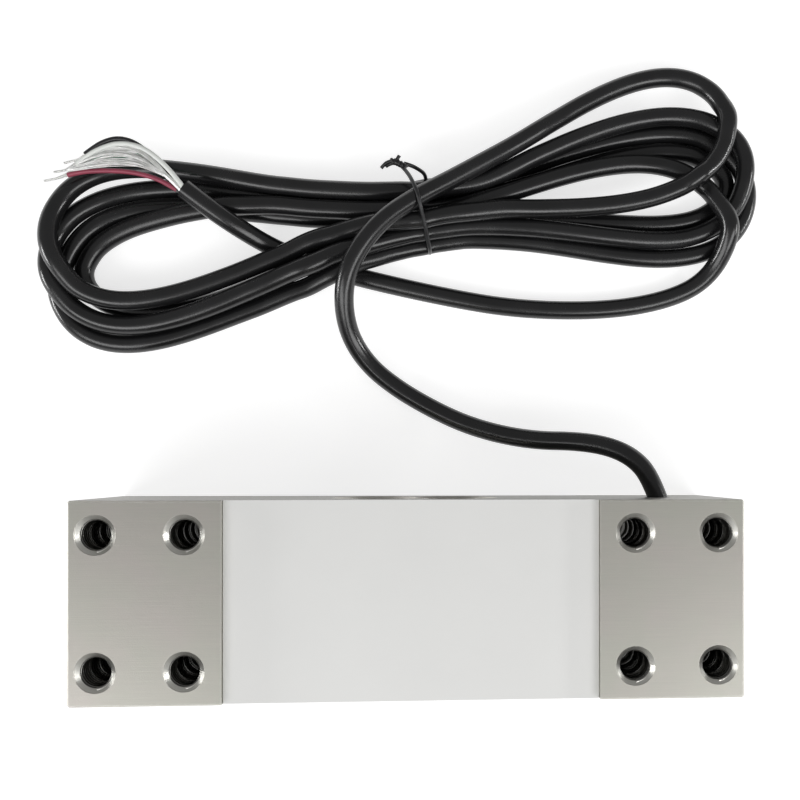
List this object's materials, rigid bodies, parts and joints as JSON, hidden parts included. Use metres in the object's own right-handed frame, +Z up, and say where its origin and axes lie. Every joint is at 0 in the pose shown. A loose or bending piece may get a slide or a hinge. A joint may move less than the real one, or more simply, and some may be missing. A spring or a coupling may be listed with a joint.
{
  "type": "single point load cell",
  "caption": "Aluminium single point load cell: a flat beam with a binocular flexure cut-out, white covers between raised tapped mounting pads, and a tied hank of black cable with stripped ends.",
  "frame": {"origin": "centre of the beam's bottom, on the lower mounting pads' plane", "axes": "+X along the beam to its fixed end, where the cable leaves; +Y to the side that the cable leaves; +Z up through the upper mounting pads"},
  "size_m": [0.1834, 0.1579, 0.04],
  "materials": {
    "beam_metal": "fine milled, clear anodised",
    "cover": "matt white sheet",
    "sealant": "soft white silicone",
    "gauge_film": "amber film with a metal grid",
    "board": "glass-fibre board",
    "resistor": "small black chips",
    "bare_wire": "tinned copper",
    "cable_jacket": "smooth glossy black PVC",
    "seal_rubber": "moulded grommet",
    "crimp": "tinned ferrule",
    "core_insulation": "bundle of thin insulated wires",
    "potting": "filled compound",
    "tie_coating": "plastic-coated wire",
    "core_red": "thin insulation",
    "core_black": "thin insulation",
    "core_green": "thin insulation",
    "core_white": "thin insulation",
    "screen_braid": "tinned braid, twisted"
  },
  "bodies": {
    "root": {"beam": "beam_metal", "bottom_cover": "cover", "bottom_gauge_fixed": "gauge_film", "bottom_gauge_load": "gauge_film", "bottom_jumper_wires": "bare_wire", "bottom_sealant": "sealant", "bottom_terminal_board": "board", "bottom_trim_resistors": "resistor", "cable_crimp": "crimp", "cable_entry": "cable_jacket", "cable_hank": "cable_jacket", "cable_lead": "cable_jacket", "cable_screen": "screen_braid", "cable_seal": "seal_rubber", "cable_tail": "cable_jacket", "core_black": "core_black", "core_green": "core_green", "core_red": "core_red", "core_tips": "bare_wire", "core_white": "core_white", "entry_potting": "potting", "inner_cores": "core_insulation", "link_wires": "core_insulation", "top_cover": "cover", "top_gauge_fixed": "gauge_film", "top_gauge_load": "gauge_film", "top_jumper_wires": "bare_wire", "top_sealant": "sealant", "top_terminal_board": "board", "top_trim_resistors": "resistor", "twist_tie": "tie_coating"}
  },
  "joints": []
}
